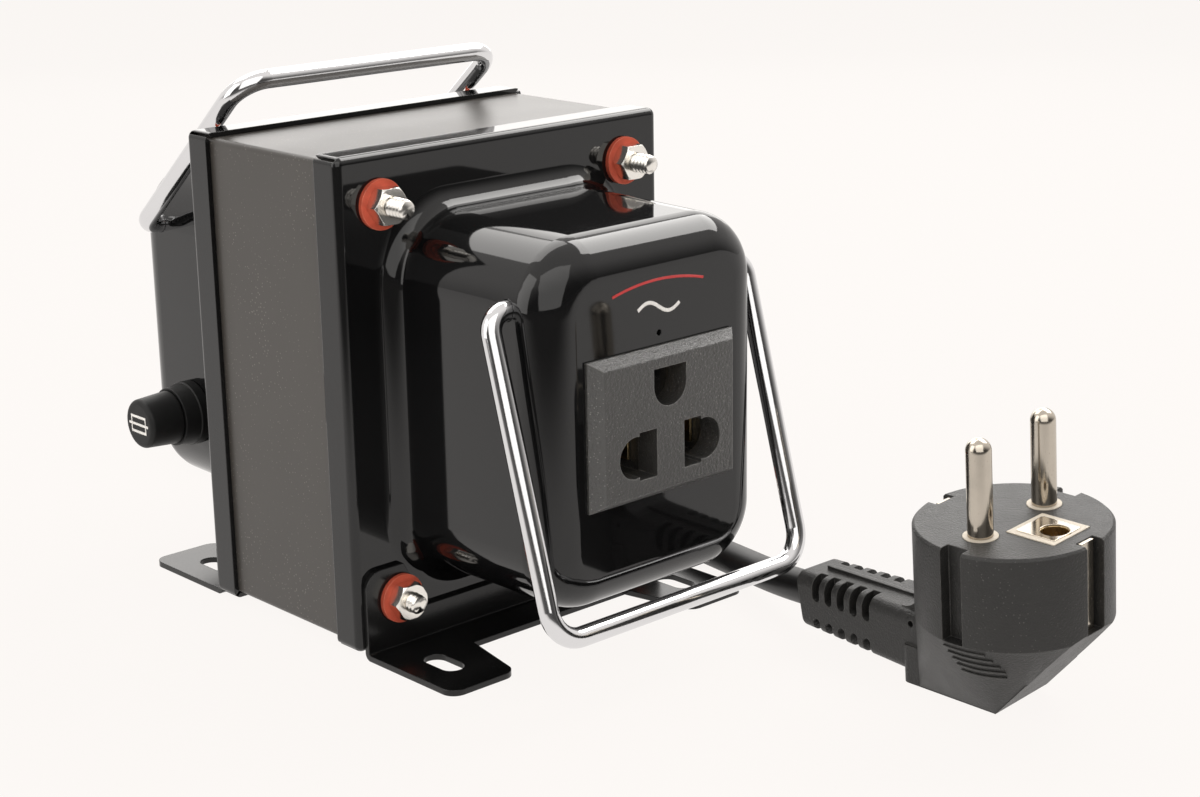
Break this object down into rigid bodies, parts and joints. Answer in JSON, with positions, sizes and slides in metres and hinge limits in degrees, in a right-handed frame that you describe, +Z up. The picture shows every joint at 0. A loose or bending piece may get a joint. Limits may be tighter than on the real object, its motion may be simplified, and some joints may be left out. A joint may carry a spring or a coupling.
{
  "type": "travel voltage converter",
  "caption": "Black enamelled step-down transformer with end domes, a flush outlet, two folding wire handles, a fuse holder, slotted feet and a corded mains plug.",
  "frame": {"origin": "centre of the plan box of the converter without its cord, on the surface it stands on", "axes": "+Z up, -Y towards the outlet, +X to the right seen from the outlet side"},
  "size_m": [0.1524, 0.2995, 0.1129],
  "materials": {
    "enamel": "gloss black stoved enamel",
    "band_enamel": "satin black paint",
    "bracket_enamel": "gloss black enamel",
    "plated_steel": "bright zinc plate",
    "red_fibre": "vulcanised fibre",
    "lamination_steel": "oxidised silicon steel",
    "bobbin_plastic": "moulded nylon",
    "copper_wire": "enamelled copper wire",
    "wrap_paper": "insulating paper",
    "wrap_tape": "polyester tape",
    "socket_plastic": "spark-textured moulding",
    "contact_brass": "bright brass",
    "fuse_plastic": "fine grained moulding",
    "fuse_glass": "clear",
    "nickel": "nickel plate",
    "lead_plastic": "wire insulation",
    "earth_plastic": "wire insulation",
    "chrome_wire": "bright chrome",
    "cord_rubber": "satin PVC",
    "plug_plastic": "spark-textured PVC",
    "pale_plastic": "pale nylon"
  },
  "bodies": {
    "chassis": {"front_cover": "enamel", "rear_cover": "enamel", "body_band": "band_enamel", "front_bracket": "bracket_enamel", "rear_bracket": "bracket_enamel", "through_bolts": "plated_steel", "bolt_nuts": "plated_steel", "front_washers": "red_fibre", "rear_washers": "red_fibre", "core_e_laminations": "lamination_steel", "core_i_laminations": "lamination_steel", "bobbin": "bobbin_plastic", "primary_winding": "copper_wire", "winding_insulation": "wrap_paper", "secondary_winding": "copper_wire", "winding_tape": "wrap_tape", "socket_face": "socket_plastic", "socket_back": "socket_plastic", "socket_contacts": "contact_brass", "socket_earth_contact": "contact_brass", "fuse_barrel": "fuse_plastic", "fuse_barrel_nut": "fuse_plastic", "fuse_terminals": "contact_brass", "output_leads": "lead_plastic", "earth_lead": "earth_plastic", "supply_leads": "lead_plastic", "fused_lead": "lead_plastic", "cord_relief": "cord_rubber", "cord_exit_run": "cord_rubber", "cord_plug_run": "cord_rubber", "cord_coil": "cord_rubber", "plug_body": "plug_plastic", "plug_pins": "nickel", "plug_collars": "pale_plastic", "plug_earth_insert": "pale_plastic", "plug_earth_tube": "contact_brass", "plug_earth_clips": "nickel"},
    "front_handle_body": {"front_handle": "chrome_wire", "front_handle_retainers": "plated_steel"},
    "rear_handle_body": {"rear_handle": "chrome_wire", "rear_handle_retainers": "plated_steel"},
    "fuse_drawer": {"fuse_carrier": "fuse_plastic", "fuse_glass": "fuse_glass", "fuse_end_caps": "nickel", "fuse_wire": "nickel"},
    "fuse_cap_body": {"fuse_cap": "fuse_plastic"}
  },
  "joints": [
    {"name": "front_handle_swing", "type": "hinge", "parent": "chassis", "child": "front_handle_body", "pos_m": [0.00073, -0.05452, 0.0755], "axis": [-1, 0, 0], "range_deg": [-8.5, 214]},
    {"name": "rear_handle_swing", "type": "hinge", "parent": "chassis", "child": "rear_handle_body", "pos_m": [0.00073, 0.06288, 0.0755], "axis": [-1, 0, 0], "range_deg": [0, 215]},
    {"name": "fuse_drawer_slide", "type": "slide", "parent": "chassis", "child": "fuse_drawer", "axis": [-1, 0, 0], "range_m": [0, 0.03]},
    {"name": "fuse_cap_turn", "type": "hinge", "parent": "fuse_drawer", "child": "fuse_cap_body", "pos_m": [-0.03827, 0.05418, 0.034], "axis": [-1, 0, 0], "range_deg": [0, 90]}
  ]
}
